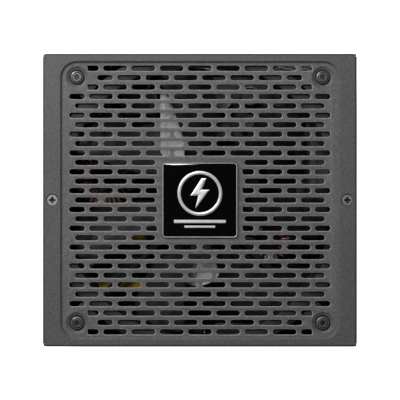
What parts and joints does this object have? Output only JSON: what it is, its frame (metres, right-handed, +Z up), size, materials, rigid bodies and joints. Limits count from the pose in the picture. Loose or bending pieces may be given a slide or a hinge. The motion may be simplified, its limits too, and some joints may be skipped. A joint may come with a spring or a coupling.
{
  "type": "computer power supply unit",
  "caption": "Fully modular computer power supply: steel box with a slotted fan lid and square badge, spinning fan, mains inlet, rocker switch, vent and cable sockets.",
  "frame": {"origin": "centre of the whole box's base, on the surface it stands on", "axes": "+Z up, out of the fan lid; +Y out of the rear panel with the mains inlet; +X along the width"},
  "size_m": [0.15, 0.143, 0.086],
  "materials": {
    "aluminium": "extruded, as cut",
    "bare_steel": "ground steel",
    "black_plastic": "fine-grained moulded nylon",
    "brass": "plain brass",
    "capacitor_sleeve": "shrunk dark sleeve with bare aluminium top",
    "circuit_board": "black solder mask",
    "copper_winding": "enamelled copper wire",
    "dark_screw": "dark zinc-plated steel",
    "fan_plastic": "satin glass-filled polyester",
    "gloss_black": "high-gloss black acrylic",
    "grey_film_case": "potted grey box",
    "insulating_film": "smooth dark polyester film",
    "powder_coat": "fine-texture matt powder coat on steel sheet",
    "screw_steel": "plain nickel-plated steel",
    "silver_trim": "bright bevelled aluminium",
    "transformer_tape": "wrapped yellow polyester tape"
  },
  "bodies": {
    "housing": {"ac_inlet": "black_plastic", "badge_emblem": "silver_trim", "badge_plate": "gloss_black", "badge_rim": "silver_trim", "base_tray": "powder_coat", "board_screw_1": "screw_steel", "board_screw_2": "screw_steel", "board_screw_3": "screw_steel", "board_screw_4": "screw_steel", "bridge_rectifier": "black_plastic", "bulk_capacitor": "capacitor_sleeve", "fan_bearing": "brass", "fan_frame": "fan_plastic", "fan_lead": "black_plastic", "fan_motor_mount": "fan_plastic", "fan_screw_1": "dark_screw", "fan_screw_2": "dark_screw", "fan_screw_3": "dark_screw", "fan_screw_4": "dark_screw", "fan_stator": "copper_winding", "front_panel": "powder_coat", "heatsink_primary": "aluminium", "heatsink_secondary": "aluminium", "inlet_pin_earth": "brass", "inlet_pin_live": "brass", "inlet_pin_neutral": "brass", "inlet_screw_lower": "screw_steel", "inlet_screw_upper": "screw_steel", "insulating_sheet": "insulating_film", "lid": "powder_coat", "lid_screw_left": "screw_steel", "lid_screw_right": "screw_steel", "line_choke": "copper_winding", "main_board": "circuit_board", "main_transformer": "transformer_tape", "output_capacitor_1": "capacitor_sleeve", "output_capacitor_2": "capacitor_sleeve", "output_capacitor_3": "capacitor_sleeve", "output_capacitor_4": "capacitor_sleeve", "output_choke": "copper_winding", "pfc_choke": "copper_winding", "power_transistor_1": "black_plastic", "power_transistor_2": "black_plastic", "rear_panel": "powder_coat", "socket_24pin": "black_plastic", "socket_6pin_1": "black_plastic", "socket_6pin_2": "black_plastic", "socket_6pin_3": "black_plastic", "socket_6pin_4": "black_plastic", "socket_8pin_1": "black_plastic", "socket_8pin_2": "black_plastic", "socket_8pin_3": "black_plastic", "socket_8pin_4": "black_plastic", "socket_board": "circuit_board", "standby_transformer": "transformer_tape", "switch_housing": "black_plastic", "x_capacitor": "grey_film_case"},
    "rotor": {"fan_rotor": "fan_plastic", "fan_shaft": "bare_steel"},
    "rocker": {"switch_rocker": "black_plastic"}
  },
  "joints": [
    {"name": "fan_spin", "type": "hinge", "parent": "housing", "child": "rotor", "pos_m": [0, -0.00154, 0.07], "axis": [0, 0, 1], "continuous": true},
    {"name": "rocker_tilt", "type": "hinge", "parent": "housing", "child": "rocker", "pos_m": [-0.033, 0.06476, 0.034], "axis": [1, 0, 0], "range_deg": [0, 18]}
  ]
}
